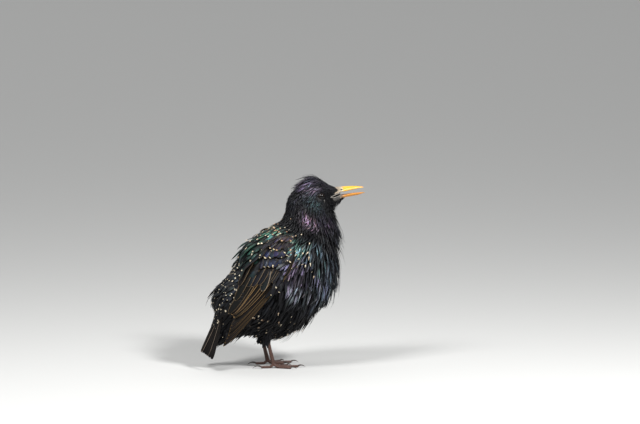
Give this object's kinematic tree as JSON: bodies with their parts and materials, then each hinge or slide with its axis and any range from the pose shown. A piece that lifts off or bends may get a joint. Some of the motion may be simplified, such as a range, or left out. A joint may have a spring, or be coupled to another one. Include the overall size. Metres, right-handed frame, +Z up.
{
  "type": "starling",
  "caption": "Life-size still model of a singing starling on its feet, with open bill, shaggy throat hackles, drooped wings and a lowered tail.",
  "frame": {"origin": "on the ground, below the middle of the whole bird", "axes": "+X forwards, the way the bill points, +Y to the bird's left, +Z up"},
  "size_m": [0.1484, 0.0758, 0.167],
  "materials": {
    "plumage": "glossy black feathers with green and violet sheen and pale tips",
    "hackles": "long narrow glossy feathers, violet and blue-green on black",
    "wing_feathers": "dark brown-black flight feathers with buff fringes",
    "tail_feathers": "dark grey-brown tail feathers with thin pale fringes",
    "bill": "smooth yellow horn, greyish at the root",
    "eye": "wet dark brown eye",
    "leg_scales": "reddish-brown scaly skin",
    "claw": "dark horn"
  },
  "bodies": {
    "root": {"head": "plumage", "neck": "hackles", "torso": "plumage", "tail": "tail_feathers", "upper_bill": "bill", "lower_bill": "bill", "wing_right": "wing_feathers", "eye_right": "eye", "shank_right": "plumage", "leg_right": "leg_scales", "wing_left": "wing_feathers", "eye_left": "eye", "shank_left": "plumage", "leg_left": "leg_scales", "claw_inner_right": "claw", "claw_middle_right": "claw", "claw_outer_right": "claw", "claw_hind_right": "claw", "claw_inner_left": "claw", "claw_middle_left": "claw", "claw_outer_left": "claw", "claw_hind_left": "claw"}
  },
  "joints": []
}
